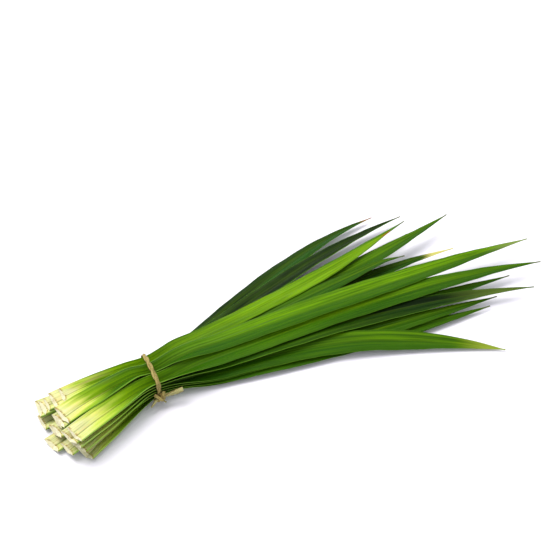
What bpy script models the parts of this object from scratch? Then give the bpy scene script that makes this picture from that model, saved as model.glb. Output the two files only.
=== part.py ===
"""A bunch of pandan leaves, tied near its cut ends with one strip of dried fibre, lying on a flat surface.

Metres, +Z up. The origin is on the surface, under the middle of the tie. +X runs from the cut ends to
the tips. Each leaf is one keeled blade. The leaves are laid from the lowest up, each on what is under it.
"""

import math
from collections import namedtuple

import bmesh
import bpy
import numpy as np
from mathutils import Matrix, Vector

MM = 0.001

# Sizes of the bunch
CUT_REACH = 0.06
BLADE_SPREAD = 0.025
BASE_SPREAD = 0.008
OPEN_REACH = 0.06
END_SUPPORT = 0.014
CLEARANCE = 0.00035

# Sizes of a leaf
MARGIN_THICKNESS = 0.00062
KEEL_THICKNESS = 0.0009
BASE_THICKNESS = 0.0020
TIP_HALF_WIDTH = 0.0006
BASE_WIDTH = 0.98
TIED_WIDTH = 0.80
INNER_SHARE = 0.55

# Sizes of the tie: a fibre strip round the bundle, its knot on the near side and its two free ends
TIE_WIDTH = 0.0042
TIE_THICKNESS = 0.0012
TIE_FLAT = 0.016
TIE_DIP = 0.006
TIE_SIDES = 48
TIE_GRIP = 0.006
TIE_STRAIGHT = 0.003
TIE_REACH = 0.02
KNOT_HEIGHT = 0.011
KNOT_SIZE = (0.0034, 0.0026, 0.0036)
KNOT_STAND = 0.0018
END_RADIUS = 0.0011
LONG_END = [
    (0.0, 0.0, 0.0),
    (0.0060, -0.0018, 0.0014),
    (0.0125, -0.0030, 0.0024),
    (0.0190, -0.0046, 0.0044),
]
SHORT_END = [
    (0.0, 0.0, 0.0),
    (-0.0036, -0.0018, -0.0002),
    (-0.0070, -0.0034, -0.0014),
    (-0.0100, -0.0044, -0.0034),
]

# How finely a leaf is cut into facets
BASE_STATIONS = 6
BLADE_STATIONS = 15
ACROSS = np.array([-1, -INNER_SHARE, 0, INNER_SHARE, 1])

# The height map that a leaf is laid on
CELL = 0.0003
MAP_X = (-0.115, 0.405)
MAP_Y = (-0.135, 0.125)

# One leaf: where it is cut (x, y), how far across the bundle it passes under the tie, where its tip is
# (x, y), how far its end curls sideways, its full width, the roll of its blade in degrees, how high its tip
# stands above the surface, and the share of its length at which it starts to taper. All lengths are in mm.
# The list runs from the lowest leaf to the top one.
Leaf = namedtuple("Leaf", "name cut across tip curl width roll rise taper")

LEAVES = [
    Leaf("leaf_01", (-99, -23), 0, (250, 4), 0, 20, 0, 0, 0.60),
    Leaf("leaf_02", (-98, 3), 13.2, (225, 60), 0, 19, -4, 0, 0.60),
    Leaf("leaf_03", (-78, -44), -13.2, (174, -42), -9, 18, 4, 0, 0.60),
    Leaf("leaf_04", (-97, 13), 13.2, (281, 102), -39, 21, -12, 5, 0.60),
    Leaf("leaf_05", (-93, -14), 0, (295, 60), -5, 17, -6, 9, 0.60),
    Leaf("leaf_06", (-90, -36), -13.2, (309, -57), 14, 18, 5, 4, 0.60),
    Leaf("leaf_07", (-94, 9), 13.2, (305, 87), -28, 18, -10, 8, 0.60),
    Leaf("leaf_08", (-92, -20), 0, (323, 22), -30, 17, 2, 8, 0.60),
    Leaf("leaf_09", (-82, -43), -13.2, (320, -52), 5, 19, 6, 7, 0.60),
    Leaf("leaf_10", (-85, -40), -13.2, (289, -107), -70, 22, 12, 2, 0.74),
    Leaf("leaf_11", (-90, 9), 13.2, (301, 75), 10, 16, -8, 12, 0.60),
    Leaf("leaf_12", (-89, -14), 0, (346, -36), 4, 19, 4, 9, 0.60),
    Leaf("leaf_13", (-87, -38), -13.2, (355, -61), -39, 20, 6, 11, 0.60),
    Leaf("leaf_14", (-85, 5), 13.2, (341, 60), 20, 22, -6, 16, 0.60),
    Leaf("leaf_15", (-88, -19), 0, (273, 31), -2, 18, -3, 12, 0.60),
    Leaf("leaf_16", (-83, -41), -13.2, (379, -39), -36, 22, 6, 15, 0.60),
    Leaf("leaf_17", (-77, 6), 13.2, (277, 63), 20, 18, -6, 18, 0.64),
    Leaf("leaf_18", (-85, -18), 0, (386, -9), -12, 23, 2, 18, 0.60),
]

# The leaf's fold: each half of the blade stands up from the keel by this angle, in degrees
CUT_FOLD = 30
TIE_FOLD = 50
BLADE_FOLD = 12
TIP_FOLD = 24
MARGIN_DROP = 13

# The share by which the cut ends hang lower than the tie
BASE_SAG = 0.6

# How a leaf's course is smoothed: over how many of its fine steps in turn, and how often each time
STEPS = 160
EASED_OVER = (5, 3, 2, 1)
EASED_TIMES = 16


def smooth_step(value, start, end):
    """0 before start, 1 after end, and a smooth rise between."""
    t = np.clip((np.asarray(value, float) - start) / (end - start), 0, 1)
    return t * t * (3 - 2 * t)


def away_from_tie(share, reach, spread):
    """0 at the tie and 1 at the leaf's end: leaves leave the tie side by side and then spread."""
    ease = spread / reach
    return (np.sqrt(share**2 + ease**2) - ease) / (math.sqrt(1 + ease**2) - ease)


def plan_line(leaf, x):
    """The keel's y at each x, seen from above."""
    cut_x, cut_y = (value * MM for value in leaf.cut)
    tip_x, tip_y = (value * MM for value in leaf.tip)
    across = leaf.across * MM
    tip_share = np.clip(x / tip_x, 0, 1)
    cut_share = np.clip(x / cut_x, 0, 1)
    curl = leaf.curl * MM
    y = across + (tip_y - across - curl) * away_from_tie(tip_share, tip_x, BLADE_SPREAD) + curl * tip_share**3
    return y + (cut_y - across) * away_from_tie(cut_share, -cut_x, BASE_SPREAD)


def half_width(leaf, share):
    """Half the blade's flat width, from the cut end at share 0 to the tip at 1."""
    grown = TIED_WIDTH + (1 - TIED_WIDTH) * smooth_step(share, 0.2, 0.5)
    grown = grown + (BASE_WIDTH - TIED_WIDTH) * (1 - smooth_step(share, 0.0, 0.2))
    taper = 1 - np.clip((share - leaf.taper) / (1 - leaf.taper), 0, 1) ** 1.9
    return np.maximum(leaf.width * MM / 2 * grown * taper, TIP_HALF_WIDTH)


def fold_and_roll(leaf, x):
    """The fold and the roll of the leaf at each x, in radians."""
    tip_x = leaf.tip[0] * MM
    free = smooth_step(x, 0.0, OPEN_REACH)
    near_cut = smooth_step(-x, 0.0, CUT_REACH)
    near_tip = smooth_step(x, 0.6 * tip_x, tip_x)
    fold = TIE_FOLD + (BLADE_FOLD - TIE_FOLD) * free + (CUT_FOLD - TIE_FOLD) * near_cut
    fold = fold + (TIP_FOLD - BLADE_FOLD) * near_tip
    return np.radians(fold), np.radians(leaf.roll * free)


def section(leaf, x, across):
    """The blade at x, for a place across from -1 to 1: its offsets sideways and up from the keel, half its
    depth measured upright, and its thickness."""
    cut_x, tip_x = leaf.cut[0] * MM, leaf.tip[0] * MM
    share = (x - cut_x) / (tip_x - cut_x)
    width = half_width(leaf, share)
    fold, roll = fold_and_roll(leaf, x)
    side = np.sign(across)
    inner = np.minimum(abs(across), INNER_SHARE)
    outer = np.maximum(abs(across) - INNER_SHARE, 0)
    inner_slope = fold + side * roll
    outer_slope = inner_slope - math.radians(MARGIN_DROP) * smooth_step(abs(x), 0.0, OPEN_REACH)
    sideways = side * width * (inner * np.cos(inner_slope) + outer * np.cos(outer_slope))
    height = width * (inner * np.sin(inner_slope) + outer * np.sin(outer_slope))
    slope = np.where(abs(across) > INNER_SHARE, outer_slope, inner_slope)
    keel = KEEL_THICKNESS + (BASE_THICKNESS - KEEL_THICKNESS) * smooth_step(-share, -0.24, 0.0)
    keel = keel + (MARGIN_THICKNESS - keel) * smooth_step(share, 0.75, 1.0)
    thickness = keel + (MARGIN_THICKNESS - keel) * abs(across) ** 0.8
    from_keel = np.minimum(abs(across) / INNER_SHARE, 1)
    half_depth = thickness / 2 * (1 + (1 / np.cos(slope) - 1) * from_keel)
    return sideways, height, half_depth, thickness


def blade_points(leaf, x, heights, across):
    """The blade's middle surface: an array of points for each x and each place across."""
    step = 0.0005
    y = plan_line(leaf, x)
    turn = (plan_line(leaf, x + step) - plan_line(leaf, x - step)) / (2 * step)
    length = np.sqrt(1 + turn**2)
    rows = []
    thick = []
    for place in across:
        sideways, height, _, thickness = section(leaf, x, place)
        rows.append(np.stack([x - turn / length * sideways, y + sideways / length, heights + height], axis=1))
        thick.append(thickness)
    return np.stack(rows, axis=1), np.stack(thick, axis=1)


class HeightMap:
    """The top of what has been laid so far, seen from above."""

    def __init__(self):
        columns = round((MAP_X[1] - MAP_X[0]) / CELL)
        rows = round((MAP_Y[1] - MAP_Y[0]) / CELL)
        self.top = np.full((rows, columns), -CLEARANCE)

    def cells(self, x, y):
        column = np.round((x - MAP_X[0]) / CELL).astype(int)
        row = np.round((y - MAP_Y[0]) / CELL).astype(int)
        return np.clip(row, 0, self.top.shape[0] - 1), np.clip(column, 0, self.top.shape[1] - 1)

    def under(self, x, y):
        return self.top[self.cells(x, y)]

    def raise_to(self, x, y, z):
        np.maximum.at(self.top, self.cells(x, y), z)


def station_places(leaf):
    """The x values of the blade's facet rows: closer together by the tie and by the tip."""
    cut_x, tip_x = leaf.cut[0] * MM, leaf.tip[0] * MM
    even = np.linspace(0, 1, BLADE_STATIONS + 1)
    crowded = 0.55 * even + 0.45 * (1 - np.cos(math.pi * even)) / 2
    base = np.linspace(cut_x, -TIE_STRAIGHT, BASE_STATIONS + 1)
    return np.concatenate([base, TIE_STRAIGHT + (tip_x - TIE_STRAIGHT) * crowded])


def facet_table(leaf):
    """The keel's x, the flat-lying position and the half depth at each corner of the blade's facets."""
    x = station_places(leaf)
    points, _ = blade_points(leaf, x, np.zeros_like(x), ACROSS)
    half_depth = np.stack([section(leaf, x, place)[2] for place in ACROSS], axis=1)
    keel_x = np.repeat(x[:, None], len(ACROSS), axis=1)
    return np.concatenate([points, half_depth[..., None], keel_x[..., None]], axis=2)


def on_facets(table, along, sideways):
    """The table's values anywhere on the triangles, for places counted in facet rows and columns."""
    row = np.clip(along.astype(int), 0, table.shape[0] - 2)[:, None]
    column = np.clip(sideways.astype(int), 0, table.shape[1] - 2)[None, :]
    u = (along[:, None] - row)[..., None]
    v = (sideways[None, :] - column)[..., None]
    first = table[row, column]
    last = table[row + 1, column + 1]
    ahead = table[row + 1, column]
    beside = table[row, column + 1]
    lower = first + u * (ahead - first) + v * (last - ahead)
    upper = first + v * (beside - first) + u * (last - beside)
    return np.where(u > v, lower, upper)


def smoothed(height, need, pinned):
    """The heights with their kinks eased, never under what they need and fixed where pinned."""
    level = height[pinned].max()
    for reach in EASED_OVER:
        for _ in range(EASED_TIMES):
            beyond = np.arange(1, reach + 1) / reach
            first = height[0] + (height[0] - height[reach]) * beyond[::-1]
            last = height[-1] + (height[-1] - height[-1 - reach]) * beyond
            padded = np.concatenate([first, height, last])
            height = np.maximum((padded[: -2 * reach] + 2 * height + padded[2 * reach :]) / 4, need)
            if reach > 1:
                height[pinned] = level
    return height


def settle(leaf, ground):
    """The x values and heights of the keel at each facet row when the leaf lies on the ground map."""
    table = facet_table(leaf)
    along = np.linspace(0, len(table) - 1, 12 * (len(table) - 1) + 1)
    place = on_facets(table, along, np.linspace(0, len(ACROSS) - 1, 41))
    under = ground.under(place[..., 0], place[..., 1])
    need_here = (under + CLEARANCE + place[..., 3] - place[..., 2]).max(axis=1)
    keel_x = place[:, 0, 4]

    cut_x, tip_x = keel_x[0], keel_x[-1]
    x = np.linspace(cut_x, tip_x, STEPS)
    need = np.interp(x, keel_x, need_here)
    in_tie = abs(x) < TIE_GRIP
    at_tie = need_here[abs(keel_x) < TIE_GRIP].max()
    need[in_tie] = at_tie
    base = x < -END_SUPPORT
    beside = abs(x[base][:, None] - x[base][None, :]) < END_SUPPORT
    need[base] = np.where(beside, need[base][None, :], 0).max(axis=1)
    share = np.clip(x / tip_x, 0, 1)
    wish = at_tie + (leaf.rise * MM - at_tie) * share
    wish = wish * (1 - BASE_SAG * np.clip(x / cut_x, 0, 1))
    height = smoothed(np.maximum(wish, need), need, in_tie)

    stations = table[:, 0, 4]
    corner = np.interp(stations, x, height)
    for _ in range(8):
        short = need_here - np.interp(keel_x, stations, corner)
        for index in range(len(stations)):
            near = abs(along - index) <= 1
            corner[index] += max(0, short[near].max()) * 0.5
    short = need_here - np.interp(keel_x, stations, corner)
    for index in range(len(stations)):
        corner[index] += max(0, short[abs(along - index) <= 1].max())
    return stations, corner


def lay(leaf, ground):
    """Settles the leaf, adds its top to the ground map and returns its keel's x values and heights."""
    x, height = settle(leaf, ground)
    table = facet_table(leaf)
    table[..., 2] += height[:, None]
    steps = (x[1:] - x[:-1]) / (CELL * 0.8)
    rows = [index + np.arange(0, 1, 1 / count) for index, count in enumerate(steps)]
    along = np.concatenate([[-0.02], *rows, [len(x) - 1, len(x) - 0.98]])
    place = on_facets(table, along, np.linspace(-0.12, len(ACROSS) - 0.88, 61))
    ground.raise_to(place[..., 0].ravel(), place[..., 1].ravel(), (place[..., 2] + place[..., 3]).ravel())
    return x, height


def new_material(name, colour, roughness):
    material = bpy.data.materials.new(name)
    material.use_nodes = True
    shader = material.node_tree.nodes["Principled BSDF"]
    shader.inputs["Base Color"].default_value = (*colour, 1)
    shader.inputs["Roughness"].default_value = roughness
    return material


def add_object(name, mesh, collection, material):
    made = bpy.data.objects.new(name, mesh)
    made.data.materials.append(material)
    collection.objects.link(made)
    return made


def make_leaf(leaf, keel, collection, material):
    """A keeled blade: a grid bent to the leaf's shape, split alike on both faces and given its thickness."""
    x, height = keel
    points, thick = blade_points(leaf, x, height, ACROSS)
    shape = bmesh.new()
    corners = [[shape.verts.new(point) for point in row] for row in points]
    for row, following in zip(corners[:-1], corners[1:]):
        for column in range(len(ACROSS) - 1):
            shape.faces.new((row[column], following[column], following[column + 1]))
            shape.faces.new((row[column], following[column + 1], row[column + 1]))
    mesh = bpy.data.meshes.new(leaf.name)
    shape.to_mesh(mesh)
    shape.free()
    made = add_object(leaf.name, mesh, collection, material)
    group = made.vertex_groups.new(name="thickness")
    for index, share in enumerate((thick / BASE_THICKNESS).ravel()):
        group.add([index], float(share), "REPLACE")
    solid = made.modifiers.new("blade thickness", "SOLIDIFY")
    solid.thickness = BASE_THICKNESS
    solid.offset = 0
    solid.vertex_group = group.name
    return made


def tie_points():
    """Points, in Y and Z, round which the tie runs, and how far the leaf stands out from each."""
    return [(-TIE_FLAT / 2, TIE_THICKNESS + CLEARANCE, 0), (TIE_FLAT / 2, TIE_THICKNESS + CLEARANCE, 0)]


def section_points(leaf, keel):
    """The same for one leaf, at both ends of its straight piece under the tie."""
    x = np.array([-TIE_STRAIGHT, TIE_STRAIGHT])
    points, thick = blade_points(leaf, x, np.interp(x, *keel), np.linspace(-1, 1, 5))
    return [(*point[1:], depth / 2) for point, depth in zip(points.reshape(-1, 3), thick.ravel())]


def tie_outline(points, gap):
    """The rounded outline, in Y and Z, that runs round all the points at the given gap."""
    points = np.array(points)
    angles = 2 * math.pi * np.arange(TIE_SIDES) / TIE_SIDES
    across = np.stack([np.cos(angles), np.sin(angles)], axis=1)
    reach = (points[:, :2] @ across.T + points[:, 2:]).max(axis=0) + gap
    outline = []
    for this, following in zip(range(TIE_SIDES), [*range(1, TIE_SIDES), 0]):
        outline.append(np.linalg.solve(across[[this, following]], reach[[this, following]]))
    return outline


def curve_mesh(name, curve):
    """The closed mesh of a curve object's data."""
    carrier = bpy.data.objects.new(name, curve)
    mesh = bpy.data.meshes.new_from_object(carrier)
    bpy.data.objects.remove(carrier)
    shape = bmesh.new()
    shape.from_mesh(mesh)
    bmesh.ops.remove_doubles(shape, verts=shape.verts, dist=1e-6)
    bmesh.ops.recalc_face_normals(shape, faces=shape.faces)
    shape.to_mesh(mesh)
    shape.free()
    return mesh


def add_spline(curve, points, closed):
    spline = curve.splines.new("POLY")
    spline.points.add(len(points) - 1)
    for place, point in zip(spline.points, points):
        place.co = (*point, 1)
    spline.use_cyclic_u = closed


def band_mesh(points):
    """The strip round the bundle: a flat ring cut from the outlines and stood up across X."""
    curve = bpy.data.curves.new("tie_band", "CURVE")
    curve.dimensions = "2D"
    curve.fill_mode = "BOTH"
    curve.extrude = TIE_WIDTH / 2
    for gap in (CLEARANCE, CLEARANCE + TIE_THICKNESS):
        add_spline(curve, [(*corner, 0) for corner in tie_outline(points, gap)], True)
    mesh = curve_mesh("tie_band", curve)
    mesh.transform(Matrix(((0, 0, 1, 0), (1, 0, 0, 0), (0, 1, 0, 0), (0, 0, 0, 1))))
    return mesh


def end_mesh(name, knot, path):
    """One free end of the strip, from inside the knot along its path."""
    curve = bpy.data.curves.new(name, "CURVE")
    curve.dimensions = "3D"
    curve.bevel_depth = END_RADIUS
    curve.bevel_resolution = 2
    curve.use_fill_caps = True
    add_spline(curve, [tuple(np.array(knot) + step) for step in path], False)
    return curve_mesh(name, curve)


def knot_mesh(knot):
    shape = bmesh.new()
    bmesh.ops.create_uvsphere(shape, u_segments=16, v_segments=10, radius=1)
    mesh = bpy.data.meshes.new("tie_knot")
    shape.to_mesh(mesh)
    shape.free()
    mesh.transform(Matrix.LocRotScale(Vector(knot), None, Vector(KNOT_SIZE)))
    return mesh


def make_tie(points, collection, cutters, material):
    """The strip with its knot and its two free ends, joined into one solid."""
    outline = tie_outline(points, CLEARANCE + TIE_THICKNESS)
    near = [corner for corner in outline if corner[0] < 0]
    knot_y = np.interp(KNOT_HEIGHT, *zip(*sorted((z, y) for y, z in near)))
    knot = (0.0, knot_y - KNOT_STAND, KNOT_HEIGHT)
    tie = add_object("tie", band_mesh(points), collection, material)
    pieces = {
        "tie_knot": knot_mesh(knot),
        "tie_long_end": end_mesh("tie_long_end", knot, LONG_END),
        "tie_short_end": end_mesh("tie_short_end", knot, SHORT_END),
    }
    for name, mesh in pieces.items():
        piece = add_object(name, mesh, cutters, material)
        piece.hide_render = True
        piece.display_type = "WIRE"
        union = tie.modifiers.new("join " + name, "BOOLEAN")
        union.operation = "UNION"
        union.solver = "EXACT"
        union.object = piece
    return tie


def build():
    for old in list(bpy.data.objects):
        bpy.data.objects.remove(old)
    bunch = bpy.data.collections.new("pandan_leaf_bunch")
    bpy.context.scene.collection.children.link(bunch)
    joined = bpy.data.collections.new("tie_pieces")
    bpy.context.scene.collection.children.link(joined)
    green = new_material("leaf_green", (0.13, 0.32, 0.03), 0.45)
    fibre = new_material("dried_fibre", (0.46, 0.30, 0.10), 0.8)

    ground = HeightMap()
    tie_x = np.arange(-TIE_WIDTH, TIE_WIDTH, CELL)
    tie_y = np.arange(-TIE_REACH, TIE_REACH, CELL)
    tie_x, tie_y = (values.ravel() for values in np.meshgrid(tie_x, tie_y))
    ground.raise_to(tie_x, tie_y, TIE_THICKNESS + TIE_DIP * (tie_y / TIE_REACH) ** 4)

    points = tie_points()
    for leaf in LEAVES:
        keel = lay(leaf, ground)
        points += section_points(leaf, keel)
        make_leaf(leaf, keel, bunch, green)
    make_tie(points, bunch, joined, fibre)


build()
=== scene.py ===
"""The looks of a pandan leaf bunch: veined keeled blades, pale cut ends and a knotted strip of dried fibre.

Metres, +Z up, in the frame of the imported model. Each leaf follows the course and the section of its solid,
with its keel's heights read from the frame.
"""

import math
from collections import namedtuple

import bpy
import numpy as np
from mathutils import Matrix, Vector
from mathutils.bvhtree import BVHTree


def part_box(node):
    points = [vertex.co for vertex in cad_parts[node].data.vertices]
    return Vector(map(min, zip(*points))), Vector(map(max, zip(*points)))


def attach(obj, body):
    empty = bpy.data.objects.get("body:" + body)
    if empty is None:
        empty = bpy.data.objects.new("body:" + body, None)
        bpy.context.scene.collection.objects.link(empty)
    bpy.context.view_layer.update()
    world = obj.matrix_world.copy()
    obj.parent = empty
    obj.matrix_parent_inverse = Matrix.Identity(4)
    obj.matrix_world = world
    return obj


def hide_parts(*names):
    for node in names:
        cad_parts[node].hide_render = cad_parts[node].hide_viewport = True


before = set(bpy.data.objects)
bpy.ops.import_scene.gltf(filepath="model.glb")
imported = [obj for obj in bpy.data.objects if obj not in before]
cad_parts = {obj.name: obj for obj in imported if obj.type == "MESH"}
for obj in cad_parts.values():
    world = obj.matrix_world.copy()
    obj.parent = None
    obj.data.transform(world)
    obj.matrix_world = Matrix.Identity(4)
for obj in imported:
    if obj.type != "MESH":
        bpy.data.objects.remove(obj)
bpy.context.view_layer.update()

MM = 0.001

# Along the bunch towards its tips, away from it on the knot's side, and up
ALONG = np.array([1.0, 0.0, 0.0])
AWAY = np.array([0.0, -1.0, 0.0])
UPRIGHT = np.array([0.0, 0.0, 1.0])

# Where the random numbers start: each leaf has its own seed, from the first leaf's on
FIRST_LEAF_SEED = 100
TIE_SEED = 7

# The course and the section of a leaf, as its solid has them: lengths in metres, angles in degrees
CUT_REACH = 0.06
BLADE_SPREAD = 0.025
BASE_SPREAD = 0.008
OPEN_REACH = 0.06
TIE_STRAIGHT = 0.003
TIP_HALF_WIDTH = 0.0006
BASE_WIDTH = 0.98
TIED_WIDTH = 0.80
TIED_SHARE = 0.2
GROWN_SHARE = 0.5
TAPER_POWER = 1.9
INNER_SHARE = 0.55
BASE_STATIONS = 6
BLADE_STATIONS = 15
EVEN_STATIONS = 0.55
END_INSET = 0.0003
CUT_FOLD = 30
TIE_FOLD = 50
BLADE_FOLD = 12
TIP_FOLD = 24
TIP_FOLD_START = 0.6
MARGIN_DROP = 13

# How thick the fine blade is, and between which shares of its length the thick base, the rib at the keel and
# the veins come to their end
MARGIN_THICKNESS = 0.00042
BLADE_THICKNESS = 0.00058
KEEL_THICKNESS = 0.0011
BASE_THICKNESS = 0.0021
BASE_MARGIN = 0.0015
BASE_POWER = 1.4
KEEL_ROUND = 0.05
RIB_WIDTH = 0.0011
MARGIN_ROUND = 0.03
MARGIN_LEFT = 0.06
BASE_END = (0.02, 0.24)
RIB_END = (0.85, 1.0)
VEINS_END = (0.80, 0.97)

# How finely a blade is modelled, its veins and waves, and its cut end. The short wave is given by its height
# and its length as shares of the long one's.
ROWS = 110
EVEN_ROWS = 0.7
KEEL_PLACES = [0.015, 0.03]
MARGIN_PLACES = [0.975, 0.99, 1.0]
VEINS = 7
VEIN_RELIEF = 0.00007
FOLD_EASE = 0.12
WAVE_HEIGHT = 0.00025
WAVE_LENGTH = 0.055
SHORT_WAVE = (0.6, 0.43)
WAVE_START = (0.02, 0.08)
WAVE_END = (0.85, 1.0)
CUT_SLANT = 0.0016
CUT_BEVEL = 0.0026
BEVEL_RANGE = (0.6, 1.3)
CUT_SHARE = 0.06
SHARP_ANGLE = 50

# The lengths in which the points of a blade, and those of the tie's strands, carry their place along it
BLADE_UNIT = 0.1
FIBRE_UNIT = 0.01

# One leaf: where it is cut (x, y), how far across the bundle it passes under the tie, where its tip is
# (x, y), how far its end curls sideways, its full width, the roll of its blade in degrees and the share of
# its length at which it starts to taper. All lengths are in mm. The list runs from the lowest leaf up.
Leaf = namedtuple("Leaf", "name cut across tip curl width roll taper")

LEAVES = [
    Leaf("leaf_01", (-99, -23), 0, (250, 4), 0, 20, 0, 0.60),
    Leaf("leaf_02", (-98, 3), 13.2, (225, 60), 0, 19, -4, 0.60),
    Leaf("leaf_03", (-78, -44), -13.2, (174, -42), -9, 18, 4, 0.60),
    Leaf("leaf_04", (-97, 13), 13.2, (281, 102), -39, 21, -12, 0.60),
    Leaf("leaf_05", (-93, -14), 0, (295, 60), -5, 17, -6, 0.60),
    Leaf("leaf_06", (-90, -36), -13.2, (309, -57), 14, 18, 5, 0.60),
    Leaf("leaf_07", (-94, 9), 13.2, (305, 87), -28, 18, -10, 0.60),
    Leaf("leaf_08", (-92, -20), 0, (323, 22), -30, 17, 2, 0.60),
    Leaf("leaf_09", (-82, -43), -13.2, (320, -52), 5, 19, 6, 0.60),
    Leaf("leaf_10", (-85, -40), -13.2, (289, -107), -70, 22, 12, 0.74),
    Leaf("leaf_11", (-90, 9), 13.2, (301, 75), 10, 16, -8, 0.60),
    Leaf("leaf_12", (-89, -14), 0, (346, -36), 4, 19, 4, 0.60),
    Leaf("leaf_13", (-87, -38), -13.2, (355, -61), -39, 20, 6, 0.60),
    Leaf("leaf_14", (-85, 5), 13.2, (341, 60), 20, 22, -6, 0.60),
    Leaf("leaf_15", (-88, -19), 0, (273, 31), -2, 18, -3, 0.60),
    Leaf("leaf_16", (-83, -41), -13.2, (379, -39), -36, 22, 6, 0.60),
    Leaf("leaf_17", (-77, 6), 13.2, (277, 63), 20, 18, -6, 0.64),
    Leaf("leaf_18", (-85, -18), 0, (386, -9), -12, 23, 2, 0.60),
]

# The colours, as screen values: the greens of the blades, and the tones of the pale base
# The "dark" green, on leaf_04, leaf_07 and leaf_13, is partly their own tone and partly painted shade.
GREENS = {
    "lime": (168, 216, 54),
    "lively": (130, 186, 24),
    "bright": (112, 168, 20),
    "grassy": (98, 148, 28),
    "mid": (78, 126, 10),
    "deep": (46, 84, 6),
    "dark": (20, 44, 6),
}
WHITE = (255, 255, 255)
CREAM = (252, 248, 190)
YELLOW = (226, 232, 126)
YOUNG = (152, 186, 66)

# Where each tone is full: its share of the pale base's length, and how far past it. Places along a blade are
# in blade units from its cut end, and the green starts and is full at shares of the pale base's length.
PALE_STOPS = [(0.30, 0.18, CREAM), (0.60, 0.20, YELLOW), (0.92, 0.22, YOUNG)]
NEAR_STOP = (1.9, 0.28)
NEAR_END, FAR_START = 2.1, 3.1
RAMP_UNIT = 4
PALE_RAGGED = 0.34
PALE_AT_MARGIN = 0.12
GREEN_START, GREEN_FULL = 0.7, 1.6
BASE_FADE = (1.6, 0.6)

# How a leaf's tip ends: its colour, and at which shares of the leaf, with the ragged noise added, it starts
# and is full
TIPS = {
    "plain": ((96, 104, 44), 0.990, 1.020),
    "yellow": ((234, 226, 140), 0.940, 0.975),
    "lemon": ((158, 174, 74), 0.915, 1.010),
    "brown": ((150, 104, 42), 0.980, 1.005),
    "olive": ((92, 112, 50), 0.825, 0.960),
    "pale": ((140, 158, 90), 0.905, 1.010),
}
TIP_RAGGED = 0.05
TIP_COVER = 0.85

# Noise drawn out along a piece: what is added to its seed, its scale, how fast it changes along the piece
# against across it, and its detail
Noise = namedtuple("Noise", "seed scale stretch detail")

STREAKS = Noise(0, 5.0, 0.5, 4.0)
FINE = Noise(0, 34.0, 0.12, 2.0)
PATCHES = Noise(3, 1.2, 2.5, 2.0)
BANDS = Noise(7, 2.6, 0.25, 2.0)
LINES = Noise(11, 12.0, 0.2, 1.0)
GRAIN = Noise(17, 6.5, 0.15, 1.0)
# The streaks of the painted sheen
SHEEN_STREAKS = Noise(23, 3.4, 0.1, 1.0)
WARMTH = Noise(29, 2.2, 0.6, 2.0)
THREADS = Noise(3, 22.0, 0.5, 3.0)
STAINS = Noise(9, 1.5, 1.6, 3.0)

# A colour that lies over another: how much it covers at most, and where it starts and is full, as values of a
# noise or of a place on the piece
Layer = namedtuple("Layer", "colour cover start full")

LIT_BANDS = Layer(GREENS["lime"], 0.44, 0.38, 0.66)
WAIST = Layer((60, 112, 16), 0.4, 0.70, 0.95)
DARK_LINES = Layer((30, 60, 8), 0.42, 0.56, 0.72)
DULL_PATCHES = Layer((60, 92, 14), 0.22, 0.45, 0.75)
# Painted sheen: pale grey-green streaks over the blades, standing for their soft sheen
PAINTED_SHEEN = Layer((126, 160, 96), 0.34, 0.56, 0.74)
# Painted shade: the near half of each blade darker, on its green and on its pale base
NEAR_HALF_SHADE = Layer((30, 76, 8), 1.0, 0.06, -0.14)
NEAR_HALF_BASE_SHADE = Layer((190, 216, 96), 0.3, 0.06, -0.14)
WARM_BASE = Layer((244, 222, 150), 0.5, 0.48, 0.66)
# Painted shade in the keel's valley, mostly at the base, and a thin dark line along its crease
KEEL_VALLEY_SHADE = Layer((74, 100, 14), 1.0, 0.16, 0.02)
KEEL_CREASE_SHADE = Layer((36, 60, 8), 0.3, 0.03, 0.012)
# Painted shade near the margins, where the leaves lie on each other, short of the pale margin itself
MARGIN_SHADE = Layer((34, 70, 8), 1.0, 0.72, 0.95)
MARGIN = Layer((146, 196, 84), 1.0, 0.955, 1.0)
DRY_RIM = Layer((150, 112, 52), 0.75, 0.022, 0.004)
FIBRE_STAIN = Layer((122, 84, 36), 0.40, 0.50, 0.72)
# Painted shade: each strand of the tie browner towards its sides
FIBRE_SIDE_SHADE = Layer((104, 72, 30), 0.75, 0.72, 0.98)
CUT_DRY = Layer((184, 150, 86), 0.55, 0.5, 0.75)

# Where some layers end along the blade, and the plain colours of its underside and of the painted shade in
# the fibre's grooves
WAIST_FADE = (2.0, 1.3)
WARM_FADE = (0.6, 0.05)
DRY_STREAKS = (0.35, 0.6)
UNDERSIDE = (146, 180, 82)
GROOVE_SHADE = (84, 56, 26)
GROOVE_SHADE_COVER = 0.5

# How much more of a layer shows where the blade is green, or at its base, and how much shows everywhere
LIT_SHOWN = (0.7, 0.3)
GRAIN_SHOWN = (0.5, 0.4)
FINE_SHOWN = 0.7
KEEL_VALLEY_SHADE_SHOWN = (0.5, 0.2)
MARGIN_SHADE_SHOWN = (0.34, 0.08)
UNDERSIDE_SHOWN = (0.4, 0.25)
MARGIN_AT_BASE = 0.7

# The streaks that darken a blade: the darkest of them, and where they have no effect
GRAIN_STOPS = [(0.36, (182, 196, 160)), (0.60, WHITE)]
FINE_STOPS = [(0.2, (150, 164, 132)), (0.6, WHITE)]
FINE_SCALE = 0.5

# The cut ends and the dried fibre
CUT_STOPS = [(0.0, (206, 190, 128)), (0.35, (236, 230, 184)), (0.8, (246, 243, 214))]
CELL_SCALE = 1600.0
BLOTCH_SCALE = 300.0
BLOTCH_DETAIL = 3.0
FIBRE_PLACES = (0.30, 0.48, 0.68)
DRIED_TONES = ((112, 88, 34), (186, 168, 88), (230, 220, 150))
YOUNG_TONES = ((150, 142, 72), (190, 188, 118), (222, 220, 160))

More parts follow.
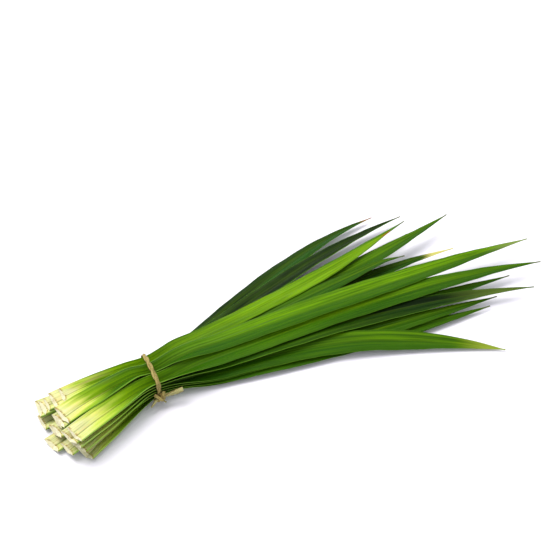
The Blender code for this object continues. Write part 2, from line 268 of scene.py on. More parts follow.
# How the surfaces take the light: a roughness is its share of the noise and what is added to it, and a relief
# is its strength and its depth
SKIN = {
    "Specular IOR Level": 0.06,
    "Subsurface Weight": 0.12,
    "Subsurface Radius": (0.5, 1.0, 0.1),
    "Subsurface Scale": 0.0014,
}
SKIN_ROUGHNESS = (0.25, 0.34)
SKIN_RELIEF = (0.4, 0.00014)
RIBS_PER_VEIN = 4
RIB_RELIEF = 0.25
CUT_FINISH = (0.62, 0.3)
CUT_RELIEF = (0.5, 0.0002)
FIBRE_ROUGHNESS = (0.3, 0.55)
FIBRE_SPECULAR = 0.25
FIBRE_RELIEF = (0.7, 0.00018)

# One leaf's look: its green near the tie and towards its tip, how long its pale base is in mm, how its tip
# ends, how much painted shade darkens its near half, on the -Y side of the keel, and how pale its margins are
Look = namedtuple("Look", "near far pale tip shade edge")

LOOKS = {
    "leaf_01": Look("mid", "mid", 46, "plain", 0.3, 0.2),
    "leaf_02": Look("deep", "mid", 46, "plain", 0.3, 0.2),
    "leaf_03": Look("bright", "deep", 40, "plain", 0.1, 0.2),
    "leaf_04": Look("dark", "deep", 44, "brown", 0.8, 0.4),
    "leaf_05": Look("mid", "mid", 50, "plain", 0.5, 0.2),
    "leaf_06": Look("bright", "mid", 50, "plain", 0.4, 0.2),
    "leaf_07": Look("dark", "dark", 46, "plain", 0.0, 0.75),
    "leaf_08": Look("deep", "deep", 48, "yellow", 0.5, 0.2),
    "leaf_09": Look("bright", "mid", 44, "plain", 0.4, 0.2),
    "leaf_10": Look("mid", "grassy", 48, "lemon", 0.5, 0.2),
    "leaf_11": Look("mid", "bright", 48, "plain", 0.2, 0.2),
    "leaf_12": Look("mid", "mid", 48, "plain", 0.6, 0.2),
    "leaf_13": Look("mid", "dark", 38, "olive", 0.2, 0.5),
    "leaf_14": Look("grassy", "grassy", 46, "plain", 0.6, 0.2),
    "leaf_15": Look("mid", "mid", 48, "plain", 0.6, 0.2),
    "leaf_16": Look("lively", "grassy", 44, "plain", 0.62, 0.2),
    "leaf_17": Look("lime", "lime", 24, "brown", 0.1, 0.2),
    "leaf_18": Look("lively", "lively", 31, "pale", 0.7, 0.2),
}

# The tie: how its loop is read from its solid and leans, its two fluted strands, twisted round each other,
# and the loose threads over them. A half size is half the width and half the depth.
TIE_RAY_X = -0.0015
TIE_SHIFT = -0.0007
TIE_LEAN = 0.085
TIE_THICKNESS = 0.0012
LOOP_STEPS = 260
LOOP_SMOOTHING = 6
STRAND_SIDES = 24
STRAND_HALF = (0.00125, 0.00062)
STRAND_APART = 0.00090
STRAND_LIFT = 0.00062
STRAND_OVER = 0.00032
STRAND_TURNS = 5
STRAND_START = 0.5
FLUTES = 6
FLUTE_DEPTH = 0.09
FLUTE_WANDER = 5
SWELL = 0.10
SWELLS = 5
TURN_SPREAD = 0.4
LOOSE_THREADS = 4
THREAD_HALF = (0.00013, 0.00013)
THREAD_LIFT = 0.00135
THREAD_WANDER = 0.0012
THREAD_RIPPLE = 0.5
THREAD_RISE = 0.4

# The knot: its middle, the two wraps that cross, the ring round them and the lump between. A wrap's line is
# in mm along the bunch, away from it and up, and its half size follows.
KNOT_HEIGHT = 0.011
KNOT_STAND = 0.0018
KNOT_STEPS = 40
KNOT_TWIST = 0.6
KNOT_WRAPS = [
    (
        [(-4.6, -1.2, -3.2), (-2.4, 1.0, -2.1), (0.1, 2.3, 0.0), (2.5, 1.1, 2.1), (4.2, -1.2, 3.4)],
        (0.0015, 0.0010),
    ),
    (
        [(-4.2, -1.2, 3.4), (-2.2, 1.4, 2.0), (0.0, 3.3, -0.1), (2.4, 1.5, -1.9), (4.4, -1.0, -3.3)],
        (0.0014, 0.0010),
    ),
]
RING_MIDDLE = (1.2, 0.5, 0.0)
RING_REACH = (0.4, 2.1, 2.6)
RING_POINTS = 13
RING_STEPS = 48
RING_HALF = (0.0013, 0.0010)
KNOT_CORE = [(-1.6, -0.4, 0.4), (0.0, 0.4, 0.0), (1.8, 0.0, 0.2)]
CORE_HALF = (0.0017, 0.0015)

# The strip's ends: each one's line from the knot's middle in mm, as its solid has it, its half size and its
# twist
END_STEPS = 44
TIE_ENDS = [
    ([(0, 0, 0), (6.0, -1.8, 1.4), (12.5, -3.0, 2.4), (19.0, -4.6, 4.4)], (0.00200, 0.00125), 2.4),
    ([(0, 0, 0), (-3.6, -1.8, -0.2), (-7.0, -3.4, -1.4), (-10.0, -4.4, -3.4)], (0.00110, 0.00070), 1.6),
    ([(0, 0, 0), (1.6, -2.2, -2.0), (3.4, -3.8, -4.4)], (0.00095, 0.00060), 1.2),
]

# The light is this much brighter than one under which a surface shows its own colour, so the colours of the
# pieces are made that much darker, and the leaves' colours more vivid
LIGHT_GAIN = 1.45
VIVIDNESS = 1.08

# The floor, the studio round it and the one soft lamp above the far side
FLOOR_SIZE = 40
FLOOR_COLOUR = (0.735, 0.715, 0.79, 1)
FLOOR_ROUGHNESS = 0.8
STUDIO_COLOUR = (0.97, 0.98, 1.0, 1)
STUDIO_STRENGTH = 1.05
LAMP_PLACE = (-0.28, 0.45, 1.40)
LAMP_AIM = (0.12, 0, 0)
LAMP_SIZE = 1.1
LAMP_POWER = 27
LAMP_COLOUR = (1.0, 0.98, 0.94)

# The camera: where it looks from, in degrees, its lens in mm, and the middle of the tie, with its place in
# the picture in pixels and the metres that a pixel covers there
PICTURE = 554
CAMERA_AZIMUTH = -28.2
CAMERA_ELEVATION = 42.0
CAMERA_LENS = 70.0
SENSOR = 36.0
TIE_POINT = np.array([0.0, 0.0, 0.014])
TIE_PIXEL = (152, 376)
TIE_SCALE = 0.84 * MM


def smooth_step(value, start, end):
    """0 before start, 1 after end, and a smooth rise between."""
    t = np.clip((np.asarray(value, float) - start) / (end - start), 0, 1)
    return t * t * (3 - 2 * t)


def away_from_tie(share, reach, spread):
    """0 at the tie and 1 at the leaf's end: leaves leave the tie side by side and then spread."""
    ease = spread / reach
    return (np.sqrt(share**2 + ease**2) - ease) / (math.sqrt(1 + ease**2) - ease)


def plan_line(leaf, x):
    """The keel's y at each x, seen from above."""
    cut_x, cut_y = (value * MM for value in leaf.cut)
    tip_x, tip_y = (value * MM for value in leaf.tip)
    across = leaf.across * MM
    tip_share = np.clip(x / tip_x, 0, 1)
    cut_share = np.clip(x / cut_x, 0, 1)
    curl = leaf.curl * MM
    y = across + (tip_y - across - curl) * away_from_tie(tip_share, tip_x, BLADE_SPREAD) + curl * tip_share**3
    return y + (cut_y - across) * away_from_tie(cut_share, -cut_x, BASE_SPREAD)


def half_width(leaf, share):
    """Half the blade's flat width, from the cut end at share 0 to the tip at 1."""
    grown = TIED_WIDTH + (1 - TIED_WIDTH) * smooth_step(share, TIED_SHARE, GROWN_SHARE)
    grown = grown + (BASE_WIDTH - TIED_WIDTH) * (1 - smooth_step(share, 0.0, TIED_SHARE))
    taper = 1 - np.clip((share - leaf.taper) / (1 - leaf.taper), 0, 1) ** TAPER_POWER
    return np.maximum(leaf.width * MM / 2 * grown * taper, TIP_HALF_WIDTH)


def fold_and_roll(leaf, x):
    """The fold and the roll of the leaf at each x, in radians."""
    tip_x = leaf.tip[0] * MM
    free = smooth_step(x, 0.0, OPEN_REACH)
    near_cut = smooth_step(-x, 0.0, CUT_REACH)
    near_tip = smooth_step(x, TIP_FOLD_START * tip_x, tip_x)
    fold = TIE_FOLD + (BLADE_FOLD - TIE_FOLD) * free + (CUT_FOLD - TIE_FOLD) * near_cut
    fold = fold + (TIP_FOLD - BLADE_FOLD) * near_tip
    return np.radians(fold), np.radians(leaf.roll * free)


def crowded(count, even_part):
    """Places from 0 to 1, closer together at both ends."""
    even = np.linspace(0, 1, count)
    return even_part * even + (1 - even_part) * (1 - np.cos(math.pi * even)) / 2


def station_places(leaf):
    """The x values of the solid's facet rows."""
    cut_x, tip_x = leaf.cut[0] * MM, leaf.tip[0] * MM
    blade = crowded(BLADE_STATIONS + 1, EVEN_STATIONS)
    base = np.linspace(cut_x, -TIE_STRAIGHT, BASE_STATIONS + 1)
    return np.concatenate([base, TIE_STRAIGHT + (tip_x - TIE_STRAIGHT) * blade])


def solid_tree(node):
    """A search tree of one solid of the frame."""
    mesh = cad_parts[node].data
    corners = [corner.co for corner in mesh.vertices]
    return BVHTree.FromPolygons(corners, [list(face.vertices) for face in mesh.polygons])


def keel_heights(leaf):
    """The keel's x values and middle heights, read from the leaf's solid."""
    tree = solid_tree(leaf.name)
    stations = station_places(leaf)
    asked = np.clip(stations, stations[0] + END_INSET, stations[-1] - END_INSET)
    heights = []
    for x, y in zip(asked, plan_line(leaf, asked)):
        below = tree.ray_cast(Vector((x, y, -1.0)), Vector((0, 0, 1)))[0]
        above = tree.ray_cast(Vector((x, y, 1.0)), Vector((0, 0, -1)))[0]
        heights.append((below.z + above.z) / 2)
    return stations, np.array(heights)


def smooth_heights(stations, heights, x):
    """A smooth curve through the heights at the stations."""
    slopes = np.gradient(heights, stations)
    index = np.clip(np.searchsorted(stations, x) - 1, 0, len(stations) - 2)
    span = stations[index + 1] - stations[index]
    t = (x - stations[index]) / span
    rise = heights[index + 1] - heights[index]
    start, end = slopes[index] * span, slopes[index + 1] * span
    bend = (3 * rise - 2 * start - end) * t**2 + (start + end - 2 * rise) * t**3
    return heights[index] + start * t + bend


def places_across():
    """Places across a blade from -1 to 1: even, and closer together at the keel and the margins."""
    even = np.linspace(0, 1, 3 * VEINS + 1)[1:-1]
    half = np.concatenate([KEEL_PLACES, even, MARGIN_PLACES])
    return np.concatenate([-half[::-1], [0], half])


def blade_thickness(leaf, x, across):
    """The blade's thickness: thin, thicker at the keel, thickest at the base, rounded off at its margins."""
    cut_x, tip_x = leaf.cut[0] * MM, leaf.tip[0] * MM
    share = (x - cut_x) / (tip_x - cut_x)
    width = half_width(leaf, share)
    base = 1 - smooth_step(share, *BASE_END)
    rib = np.exp(-((across * width / RIB_WIDTH) ** 2))
    blade = MARGIN_THICKNESS + (BLADE_THICKNESS - MARGIN_THICKNESS) * (1 - abs(across))
    thin = blade + (KEEL_THICKNESS - blade) * rib * (1 - smooth_step(share, *RIB_END))
    thick = BASE_THICKNESS + (BASE_MARGIN - BASE_THICKNESS) * abs(across) ** BASE_POWER
    thickness = thin + (thick - thin) * base
    veins = VEIN_RELIEF * np.cos(2 * math.pi * VEINS * abs(across)) * (1 - smooth_step(share, *VEINS_END))
    to_margin = np.clip((1 - abs(across)) / MARGIN_ROUND, 0, 1)
    return (thickness + veins) * np.sqrt(MARGIN_LEFT + (1 - MARGIN_LEFT) * (1 - (1 - to_margin) ** 2))


def blade_surfaces(leaf, rng):
    """The upper and the lower face of a blade as grids of points, and each point's place on the blade."""
    cut_x, tip_x = leaf.cut[0] * MM, leaf.tip[0] * MM
    along = crowded(ROWS, EVEN_ROWS)
    x = (cut_x + (tip_x - cut_x) * along)[:, None]
    across = places_across()[None, :]
    share = (x - cut_x) / (tip_x - cut_x)
    width = half_width(leaf, share)
    fold, roll = fold_and_roll(leaf, x)

    drop = math.radians(MARGIN_DROP) * smooth_step(abs(x), 0.0, OPEN_REACH)
    bend = fold - drop * smooth_step(abs(across), INNER_SHARE - FOLD_EASE, INNER_SHARE + FOLD_EASE)
    slope = roll + np.tanh(across / KEEL_ROUND) * bend
    middle = across.shape[1] // 2
    step = np.diff(across, axis=1)
    between = (slope[:, 1:] + slope[:, :-1]) / 2
    sideways = np.concatenate([np.zeros_like(x), np.cumsum(step * np.cos(between), axis=1)], axis=1)
    height = np.concatenate([np.zeros_like(x), np.cumsum(step * np.sin(between), axis=1)], axis=1)
    sideways = (sideways - sideways[:, middle : middle + 1]) * width
    height = (height - height[:, middle : middle + 1]) * width

    phase = rng.uniform(0, 2 * math.pi, 3)
    height_share, length_share = SHORT_WAVE
    waves = 2 * math.pi * x / WAVE_LENGTH
    ripple = np.sin(waves + phase[0] + across * phase[2])
    ripple = ripple + height_share * np.sin(waves / length_share + phase[1] * np.sign(across))
    free = smooth_step(x, *WAVE_START) * (1 - smooth_step(share, *WAVE_END))
    height = height + WAVE_HEIGHT * ripple * across**2 * free

    flat_x = x[:, 0]
    keel = smooth_heights(*keel_heights(leaf), flat_x)[:, None]
    y = plan_line(leaf, flat_x)
    turn = np.gradient(y, flat_x)[:, None]
    length = np.sqrt(1 + turn**2)
    climb = np.gradient(keel[:, 0], flat_x)[:, None]

    side = np.stack([-turn / length, 1 / length, np.zeros_like(turn)], axis=2)
    up = np.stack([-climb / length, -climb * turn / length, np.ones_like(turn)], axis=2)
    up = up / np.linalg.norm(up, axis=2, keepdims=True)
    spine = np.stack([flat_x, y, keel[:, 0]], axis=1)[:, None, :]
    middle_face = spine + side * sideways[..., None] + UPRIGHT * height[..., None]
    normal = -side * np.sin(slope)[..., None] + up * np.cos(slope)[..., None]
    half = (blade_thickness(leaf, x, across) / 2)[..., None]

    slant = rng.uniform(-1, 1)
    near_cut = 1 - smooth_step(along[:, None], 0.0, CUT_SHARE)
    middle_face[..., 0] += CUT_SLANT * (0.5 + 0.5 * slant * across) * near_cut
    place = np.stack(np.broadcast_arrays(across, (x - cut_x) / BLADE_UNIT, share), axis=2)
    upper, lower = middle_face + normal * half, middle_face - normal * half
    upper[..., 0] += CUT_BEVEL * rng.uniform(*BEVEL_RANGE) * near_cut * (1 - across**2)
    return upper, lower, place


def grid_faces(rows, columns):
    """The faces of a tube of rows, each a closed ring of columns."""
    row, column = np.meshgrid(np.arange(rows - 1), np.arange(columns), indexing="ij")
    after = (column + 1) % columns
    first, second = row * columns, (row + 1) * columns
    return np.stack([first + column, first + after, second + after, second + column], axis=2).reshape(-1, 4)


def add_piece(name, points, faces, materials, node):
    """A smooth mesh piece that rides on the bunch and stands for a node of the frame."""
    mesh = bpy.data.meshes.new(name)
    mesh.from_pydata(points.tolist(), [], faces)
    mesh.shade_smooth()
    for material in materials:
        mesh.materials.append(material)
    piece = bpy.data.objects.new(name, mesh)
    bpy.context.scene.collection.objects.link(piece)
    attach(piece, "root")
    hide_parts(node)
    return piece


def make_blade(leaf, cut_face, rng):
    """One leaf's blade: a closed skin whose points carry their place on it and which side they are on."""
    upper, lower, place = blade_surfaces(leaf, rng)
    rows, columns = upper.shape[:2]
    ring = 2 * columns
    points = np.concatenate([upper, lower[:, ::-1]], axis=1).reshape(-1, 3)
    points[:, 2] = np.maximum(points[:, 2], 0.0)
    places = np.concatenate([place, place[:, ::-1]], axis=1).reshape(-1, 3)
    under = np.concatenate([np.zeros((rows, columns)), np.ones((rows, columns))], axis=1).ravel()
    sides = grid_faces(rows, ring)[:, ::-1].tolist()
    cut = [(i, i + 1, ring - 2 - i, ring - 1 - i) for i in range(columns - 1)]
    last = (rows - 1) * ring
    tip = [(last + ring - 1 - i, last + ring - 2 - i, last + i + 1, last + i) for i in range(columns - 1)]
    number = leaf.name[-2:]
    materials = [blade_material("skin_" + number, LOOKS[leaf.name], rng), cut_face]
    piece = add_piece("blade_" + number, points, sides + cut + tip, materials, leaf.name)
    mesh = piece.data
    for index in range(len(sides), len(sides) + len(cut)):
        mesh.polygons[index].material_index = 1
    mesh.attributes.new("blade", "FLOAT_VECTOR", "POINT").data.foreach_set("vector", places.ravel())
    mesh.attributes.new("under", "FLOAT", "POINT").data.foreach_set("value", under)
    mesh.set_sharp_from_angle(angle=math.radians(SHARP_ANGLE))


def screen(colour):
    """A colour given in screen values, as a shader reads it."""
    values = np.array(colour) / 255
    linear = np.where(values <= 0.04045, values / 12.92, ((values + 0.055) / 1.055) ** 2.4)
    return (*linear.tolist(), 1.0)


class Surface:
    """A material whose nodes are added and linked by plain calls."""

    def __init__(self, name):
        self.material = bpy.data.materials.new(name)
        self.material.use_nodes = True
        self.tree = self.material.node_tree
        self.shader = self.tree.nodes["Principled BSDF"]

    def put(self, socket, value):
        """Link the socket to another node's output, or give it a plain value."""
        if isinstance(value, bpy.types.NodeSocket):
            self.tree.links.new(value, socket)
        else:
            socket.default_value = value

    def set(self, name, value):
        """Put a value into an input of the shader."""
        self.put(self.shader.inputs[name], value)

    def add(self, kind, inputs, output=0, **settings):
        """Add a node and return one of its outputs."""
        node = self.tree.nodes.new(kind)
        for name, value in settings.items():
            setattr(node, name, value)
        for name, value in inputs.items():
            self.put(node.inputs[name], value)
        return node.outputs[output]

    def attribute(self, name, output):
        return self.add("ShaderNodeAttribute", {}, output, attribute_name=name)

    def parts(self, vector):
        return self.add("ShaderNodeSeparateXYZ", {0: vector}).node.outputs

    def math(self, operation, first, second=0.0, third=0.0):
        return self.add("ShaderNodeMath", {0: first, 1: second, 2: third}, operation=operation)

    def times(self, first, *others):
        for other in others:
            first = self.math("MULTIPLY", first, other)
        return first

    def scaled(self, value, factor, added=0.0):
        return self.math("MULTIPLY_ADD", value, factor, added)

    def rise(self, value, start, full):
        """0 at start, 1 at full and smooth between; full may be the smaller of the two."""
        inputs = {"Value": value, "From Min": start, "From Max": full}
        return self.add("ShaderNodeMapRange", inputs, interpolation_type="SMOOTHSTEP")

    def mix(self, factor, first, second, blend="MIX"):
        """A mix of two colours, which are inputs 6 and 7 and output 2 of the node."""
        inputs = {"Factor": factor, 6: first, 7: second}
        return self.add("ShaderNodeMix", inputs, output=2, data_type="RGBA", blend_type=blend)

    def lay(self, colour, layer, value, *shares):
        """A colour with a layer over it that follows the value and covers as much as the shares let it."""
        cover = self.times(self.rise(value, layer.start, layer.full), *shares, layer.cover)
        return self.mix(cover, colour, screen(layer.colour))

    def noise(self, vector, scale, detail):
        inputs = {"Vector": vector, "Scale": scale, "Detail": detail}
        return self.add("ShaderNodeTexNoise", inputs)

    def streaks(self, across, along, noise, seed=0.0):
        """Noise drawn out along the piece."""
        place = {0: across, 1: self.times(along, noise.stretch), 2: seed + noise.seed}
        return self.noise(self.add("ShaderNodeCombineXYZ", place), noise.scale, noise.detail)

    def ramp(self, factor, stops):
        output = self.add("ShaderNodeValToRGB", {"Fac": factor})
        ramp = output.node.color_ramp
        while len(ramp.elements) < len(stops):
            ramp.elements.new(1.0)
        for element, (position, colour) in zip(ramp.elements, stops):
            element.position = position
            element.color = screen(colour)
        return output

    def colour(self, value, vividness=1.0):
        """The base colour: the colour as it looks in the picture, made as dark as the bright light asks."""
        vivid = self.add("ShaderNodeHueSaturation", {"Saturation": vividness, "Color": value})
        dim = 1 / LIGHT_GAIN
        self.set("Base Color", self.mix(1.0, vivid, (dim, dim, dim, 1.0), "MULTIPLY"))

    def relief(self, height, strength, distance):
        inputs = {"Height": height, "Strength": strength, "Distance": distance}
        self.set("Normal", self.add("ShaderNodeBump", inputs))


def blade_material(name, look, rng):
    """A leaf's skin: pale at its base, green, veined along, with painted sheen, painted shade on one half, in
    the keel and by the margins, and its own tip.
    """
    surface = Surface(name)
    under = surface.attribute("under", "Fac")
    across, along, share = surface.parts(surface.attribute("blade", "Vector"))
    from_keel = surface.math("ABSOLUTE", across)
    seed = rng.uniform(0, 50)

    def noise(kind):
        return surface.streaks(across, along, kind, seed)

    streaks, fine = noise(STREAKS), noise(FINE)
    pale = look.pale * MM / BLADE_UNIT
    near, far = GREENS[look.near], GREENS[look.far]
    light = min(near[1], far[1]) / GREENS["lively"][1]
    green = surface.rise(along, pale * GREEN_START, pale * GREEN_FULL)
    base = surface.rise(along, *BASE_FADE)

    stops = [(pale * part + past, tone) for part, past, tone in PALE_STOPS + [(*NEAR_STOP, near)]]
    stops += [(NEAR_END, near), (FAR_START, far)]
    reach = surface.scaled(from_keel, PALE_AT_MARGIN, surface.scaled(streaks, PALE_RAGGED, along))
    reach = surface.times(reach, 1 / RAMP_UNIT)
    colour = surface.ramp(reach, [(place / RAMP_UNIT, tone) for place, tone in stops])

    colour = surface.lay(colour, LIT_BANDS, noise(BANDS), surface.scaled(green, *LIT_SHOWN), light)
    colour = surface.lay(colour, WAIST, along, surface.rise(along, *WAIST_FADE))
    grain = surface.ramp(noise(GRAIN), GRAIN_STOPS)
    colour = surface.mix(surface.scaled(green, *GRAIN_SHOWN), colour, grain, "MULTIPLY")
    shade = surface.ramp(surface.times(fine, FINE_SCALE), FINE_STOPS)
    shade.node.color_ramp.interpolation = "EASE"
    colour = surface.mix(surface.times(green, FINE_SHOWN), colour, shade, "MULTIPLY")
    colour = surface.lay(colour, DARK_LINES, noise(LINES))
    colour = surface.lay(colour, DULL_PATCHES, noise(PATCHES))
    # painted sheen: pale grey-green streaks, more of them on the brighter greens
    colour = surface.lay(colour, PAINTED_SHEEN, noise(SHEEN_STREAKS), green, light)

    # painted shade: the near half darker, on the green part and on the pale base
    colour = surface.lay(colour, NEAR_HALF_SHADE, across, green, look.shade)
    colour = surface.lay(colour, NEAR_HALF_BASE_SHADE, across, surface.math("SUBTRACT", 1.0, green))
    colour = surface.lay(colour, WARM_BASE, noise(WARMTH), surface.rise(along, *WARM_FADE))
    # painted shade in the keel's valley and along its crease
    colour = surface.lay(colour, KEEL_VALLEY_SHADE, from_keel, surface.scaled(base, *KEEL_VALLEY_SHADE_SHOWN))
    colour = surface.lay(colour, KEEL_CREASE_SHADE, from_keel)
    # painted shade near the margins, where the leaves lie on each other
    colour = surface.lay(colour, MARGIN_SHADE, from_keel, surface.scaled(green, *MARGIN_SHADE_SHOWN))
    edge = surface.scaled(base, MARGIN_AT_BASE - look.edge, look.edge)
    colour = surface.lay(colour, MARGIN, from_keel, edge)
    below = surface.times(under, surface.scaled(base, *UNDERSIDE_SHOWN))
    colour = surface.mix(below, colour, screen(UNDERSIDE))

    colour = surface.lay(colour, DRY_RIM, along, surface.rise(streaks, *DRY_STREAKS))
    tip_colour, start, full = TIPS[look.tip]
    reach = surface.scaled(streaks, TIP_RAGGED, share)
    colour = surface.lay(colour, Layer(tip_colour, TIP_COVER, start, full), reach)
    surface.colour(colour, VIVIDNESS)

    for name, value in SKIN.items():
        surface.set(name, value)
    surface.set("Roughness", surface.scaled(fine, *SKIN_ROUGHNESS))
    ribs = surface.math("SINE", surface.times(from_keel, 2 * math.pi * VEINS * RIBS_PER_VEIN))
    surface.relief(surface.scaled(ribs, RIB_RELIEF, fine), *SKIN_RELIEF)
    return surface.material


def cut_material(name):
    """The cut end: pale spongy tissue with darker strands and a dry, browned rim."""
    surface = Surface(name)
    place = surface.add("ShaderNodeTexCoord", {}, "Object")
    cells = surface.add("ShaderNodeTexVoronoi", {"Vector": place, "Scale": CELL_SCALE})
    blotches = surface.noise(place, BLOTCH_SCALE, BLOTCH_DETAIL)
    colour = surface.lay(surface.ramp(cells, CUT_STOPS), CUT_DRY, blotches)
    surface.colour(colour)
    roughness, specular = CUT_FINISH
    surface.set("Roughness", roughness)
    surface.set("Specular IOR Level", specular)
    surface.relief(cells, *CUT_RELIEF)
    return surface.material


def fibre_material(name, tones):
    """Dried leaf fibre: parallel strands in the given tones, browner here and there, with painted brown shade
    in the grooves and on each strand's sides.
    """
    surface = Surface(name)
    around, along, groove = surface.parts(surface.attribute("fibre", "Vector"))
    threads = surface.streaks(around, along, THREADS)
    colour = surface.ramp(threads, list(zip(FIBRE_PLACES, tones)))
    colour = surface.lay(colour, FIBRE_STAIN, surface.streaks(around, along, STAINS))
    # painted shade in the flutes' grooves
    colour = surface.mix(surface.times(groove, GROOVE_SHADE_COVER), colour, screen(GROOVE_SHADE))
    # painted shade: browner towards each strand's sides
    colour = surface.lay(colour, FIBRE_SIDE_SHADE, surface.math("ABSOLUTE", around))
    surface.colour(colour)
    surface.set("Roughness", surface.scaled(threads, *FIBRE_ROUGHNESS))
    surface.set("Specular IOR Level", FIBRE_SPECULAR)
    surface.relief(threads, *FIBRE_RELIEF)
    return surface.material


def tie_loop():
    """The line on which the strip lies round the leaves, in even steps, with its outward directions."""
    tree = solid_tree("tie")
    heart = Vector((TIE_RAY_X, 0.0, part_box("tie")[1][2] / 2))
    angles = np.linspace(0, 2 * math.pi, 4 * LOOP_STEPS, endpoint=False) - math.pi / 2
    hits = [tree.ray_cast(heart, Vector((0.0, math.cos(angle), math.sin(angle))))[0] for angle in angles]
    points = np.array([(TIE_SHIFT + TIE_LEAN * hit.y, hit.y, hit.z) for hit in hits])
    closed = np.vstack([points, points[:1]])
    length = np.concatenate([[0], np.cumsum(np.linalg.norm(np.diff(closed, axis=0), axis=1))])
    even = np.linspace(0, length[-1], LOOP_STEPS, endpoint=False)
    loop = np.stack([np.interp(even, length, closed[:, axis]) for axis in range(3)], axis=1)
    for _ in range(LOOP_SMOOTHING):
        loop = (np.roll(loop, 1, axis=0) + 2 * loop + np.roll(loop, -1, axis=0)) / 4
    ahead = np.roll(loop, -1, axis=0) - np.roll(loop, 1, axis=0)
    out = np.stack([np.zeros(LOOP_STEPS), ahead[:, 2], -ahead[:, 1]], axis=1)
    return loop, out / np.linalg.norm(out, axis=1, keepdims=True)


def spline(points, count):
    """A smooth line of the given number of points through the given ones."""
    points = np.array(points, float)
    asked = np.linspace(0, len(points) - 1, count)
    slopes = np.gradient(points, axis=0)
    index = np.clip(asked.astype(int), 0, len(points) - 2)
    t = (asked - index)[:, None]
    start, end = points[index], points[index + 1]
    lean = (2 * t**3 - 3 * t**2 + 1) * start + (3 * t**2 - 2 * t**3) * end
    return lean + (t**3 - 2 * t**2 + t) * slopes[index] + (t**3 - t**2) * slopes[index + 1]


def frames(path, up, closed):
    """For each point of a path: the direction across the strip and the one out of it."""
    if closed:
        ahead = np.roll(path, -1, axis=0) - np.roll(path, 1, axis=0)
    else:
        ahead = np.gradient(path, axis=0)
    ahead /= np.linalg.norm(ahead, axis=1, keepdims=True)
    across = np.cross(ahead, up)
    across /= np.linalg.norm(across, axis=1, keepdims=True)
    return across, np.cross(across, ahead)


def strand(path, up, half, twist, closed, rng):
    """One fluted strand swept along a path: its points, faces and cut ends, and its points' places on it."""
    across, out = frames(path, up, closed)
    count = len(path)
    share = np.linspace(0, 1, count)[:, None]
    angle = np.linspace(0, 2 * math.pi, STRAND_SIDES, endpoint=False)[None, :]
    turn = twist * share + rng.uniform(0, TURN_SPREAD)
    phase = rng.uniform(0, 2 * math.pi, 3)
    wander = FLUTE_WANDER * np.sin(2 * math.pi * share * 2 + phase[1])
    flute = np.cos(FLUTES * angle + phase[0] + wander)
    swell = 1 + SWELL * np.sin(2 * math.pi * SWELLS * share + phase[2]) * (1 - share) * share * 4
    radius = swell * (1 + FLUTE_DEPTH * flute)
    a = half[0] * np.cos(angle) * radius
    b = half[1] * np.sin(angle) * radius
    side = a * np.cos(turn) - b * np.sin(turn)
    lift = a * np.sin(turn) + b * np.cos(turn)
    points = path[:, None, :] + across[:, None, :] * side[..., None] + out[:, None, :] * lift[..., None]
    points[..., 2] = np.maximum(points[..., 2], 0.0)
    step = np.linalg.norm(np.diff(path, axis=0), axis=1)
    along = np.concatenate([[0], np.cumsum(step)])[:, None] / FIBRE_UNIT
    place = np.stack(np.broadcast_arrays(np.cos(angle), along, 0.5 - 0.5 * flute), axis=2)
    faces = grid_faces(count, STRAND_SIDES)[:, ::-1].tolist()
    first = list(range(STRAND_SIDES))
    last = [(count - 1) * STRAND_SIDES + corner for corner in first]
    if closed:
        after = first[1:] + first[:1]
        faces += list(zip(first, last, last[1:] + last[:1], after))
        caps = []
    else:
        caps = [first, last[::-1]]
    return points.reshape(-1, 3), faces, caps, place.reshape(-1, 3)


def add_strands(name, strands, materials):
    """One piece of the tie, made of strands; their cut ends take the second material."""
    points, faces, ends, places = [], [], [], []
    for piece_points, piece_faces, caps, piece_places in strands:
        first = sum(len(block) for block in points)
        faces += [[first + corner for corner in face] for face in piece_faces]
        ends += [[first + corner for corner in face] for face in caps]
        points.append(piece_points)
        places.append(piece_places)
    piece = add_piece(name, np.concatenate(points), faces + ends, materials, "tie")
    for polygon in piece.data.polygons[len(faces):]:
        polygon.material_index = 1
        polygon.use_smooth = False
    attribute = piece.data.attributes.new("fibre", "FLOAT_VECTOR", "POINT")
    attribute.data.foreach_set("vector", np.concatenate(places).ravel())


def band_strands(rng):
    """The two strands and the loose threads that go round the leaves."""
    loop, out = tie_loop()
    share = np.linspace(0, 1, LOOP_STEPS, endpoint=False)
    strands = []
    for start in (STRAND_START, STRAND_START + math.pi):
        angle = 2 * math.pi * STRAND_TURNS * share + start
        lift = STRAND_LIFT + STRAND_OVER * np.sin(angle)
        path = loop + out * lift[:, None] + ALONG * (STRAND_APART * np.cos(angle))[:, None]
        strands.append(strand(path, out, STRAND_HALF, 0.0, True, rng))
    for _ in range(LOOSE_THREADS):
        phase = rng.uniform(0, 2 * math.pi, 4)
        wander = np.sin(2 * math.pi * share * 2 + phase[0])
        wander = wander + THREAD_RIPPLE * np.sin(2 * math.pi * share * 5 + phase[1])
        rise = 1 + THREAD_RISE * np.sin(2 * math.pi * share * 3 + phase[2])
        path = loop + ALONG * (wander * THREAD_WANDER)[:, None] + out * (rise * THREAD_LIFT)[:, None]
        strands.append(strand(path, out, THREAD_HALF, 0.0, True, rng))
    return strands


def knot_strands(knot, rng):
    """The strip's turns at the knot: two that cross, one round them and the lump between."""

    def wrap(points, half, steps=KNOT_STEPS, up=AWAY):
        path = knot + spline(points, steps) * MM @ np.array([ALONG, AWAY, UPRIGHT])
        return strand(path, up, half, KNOT_TWIST, False, rng)

    angle = np.linspace(0, 2 * math.pi, RING_POINTS)
    around = np.stack([np.cos(angle), np.cos(angle), np.sin(angle)], axis=1)
    ring = np.array(RING_MIDDLE) + np.array(RING_REACH) * around
    strands = [wrap(points, half) for points, half in KNOT_WRAPS]
    return strands + [wrap(ring, RING_HALF, RING_STEPS, ALONG), wrap(KNOT_CORE, CORE_HALF)]


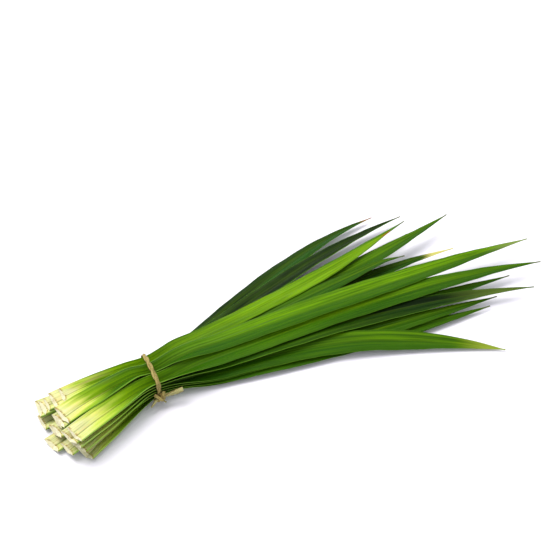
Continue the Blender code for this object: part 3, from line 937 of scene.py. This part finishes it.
def make_tie(rng):
    """The strip of dried fibre in three pieces: the band round the leaves, the knot and the strip's ends."""
    band = fibre_material("dried_fibre", DRIED_TONES)
    pale = fibre_material("young_fibre", YOUNG_TONES)
    cut_face = cut_material("cut_fibre")
    add_strands("tie_band", band_strands(rng), [band, cut_face])

    ray_start = Vector((TIE_RAY_X, 0.0, KNOT_HEIGHT))
    inner = solid_tree("tie").ray_cast(ray_start, Vector((0.0, -1.0, 0.0)))[0]
    knot_y = inner.y - TIE_THICKNESS - KNOT_STAND
    knot = np.array([TIE_SHIFT + TIE_LEAN * knot_y, knot_y, KNOT_HEIGHT])
    add_strands("tie_knot", knot_strands(knot, rng), [band, cut_face])

    tails = []
    for points, half, twist in TIE_ENDS:
        line = knot + spline(points, END_STEPS) * MM
        tails.append(strand(line, UPRIGHT, half, twist, False, rng))
    add_strands("tie_ends", tails, [pale, cut_face])


def make_floor():
    """A plain pale floor."""
    bpy.ops.mesh.primitive_plane_add(size=FLOOR_SIZE, location=(0, 0, 0))
    floor = bpy.context.object
    floor.name = "floor"
    surface = Surface("pale_floor")
    surface.set("Base Color", FLOOR_COLOUR)
    surface.set("Roughness", FLOOR_ROUGHNESS)
    floor.data.materials.append(surface.material)


def make_light():
    """A bright even studio and one soft lamp."""
    world = bpy.data.worlds.new("studio")
    world.use_nodes = True
    background = world.node_tree.nodes["Background"]
    background.inputs["Color"].default_value = STUDIO_COLOUR
    background.inputs["Strength"].default_value = STUDIO_STRENGTH
    bpy.context.scene.world = world
    lamp = bpy.data.objects.new("key", bpy.data.lights.new("key", "AREA"))
    lamp.data.shape = "DISK"
    lamp.data.size = LAMP_SIZE
    lamp.data.energy = LAMP_POWER
    lamp.data.color = LAMP_COLOUR
    lamp.location = LAMP_PLACE
    lamp.rotation_euler = (Vector(LAMP_AIM) - Vector(LAMP_PLACE)).to_track_quat("-Z", "Y").to_euler()
    bpy.context.scene.collection.objects.link(lamp)
    bpy.context.scene.view_settings.view_transform = "Standard"


def make_camera():
    """The photo's camera, moved sideways until the middle of the tie is at its place in the picture."""
    azimuth, elevation = math.radians(CAMERA_AZIMUTH), math.radians(CAMERA_ELEVATION)
    right = np.array([math.cos(azimuth), math.sin(azimuth), 0.0])
    level = np.array([-math.sin(azimuth), math.cos(azimuth), 0.0])
    ahead = level * math.cos(elevation) - UPRIGHT * math.sin(elevation)
    up = np.cross(right, ahead)
    focal = PICTURE * CAMERA_LENS / SENSOR
    depth = focal * TIE_SCALE
    shift_right = (TIE_PIXEL[0] - PICTURE / 2) * TIE_SCALE
    shift_up = (PICTURE / 2 - TIE_PIXEL[1]) * TIE_SCALE
    place = TIE_POINT - right * shift_right - up * shift_up - ahead * depth
    camera = bpy.data.objects.new("camera", bpy.data.cameras.new("camera"))
    camera.data.lens = CAMERA_LENS
    camera.data.sensor_width = SENSOR
    camera.matrix_world = Matrix.Translation(place) @ Matrix(np.stack([right, up, -ahead], axis=1)).to_4x4()
    bpy.context.scene.collection.objects.link(camera)
    bpy.context.scene.camera = camera


make_camera()
make_light()
make_floor()
leaf_cut = cut_material("cut_leaf")
for seed, leaf in enumerate(LEAVES, FIRST_LEAF_SEED):
    make_blade(leaf, leaf_cut, np.random.default_rng(seed))
make_tie(np.random.default_rng(TIE_SEED))
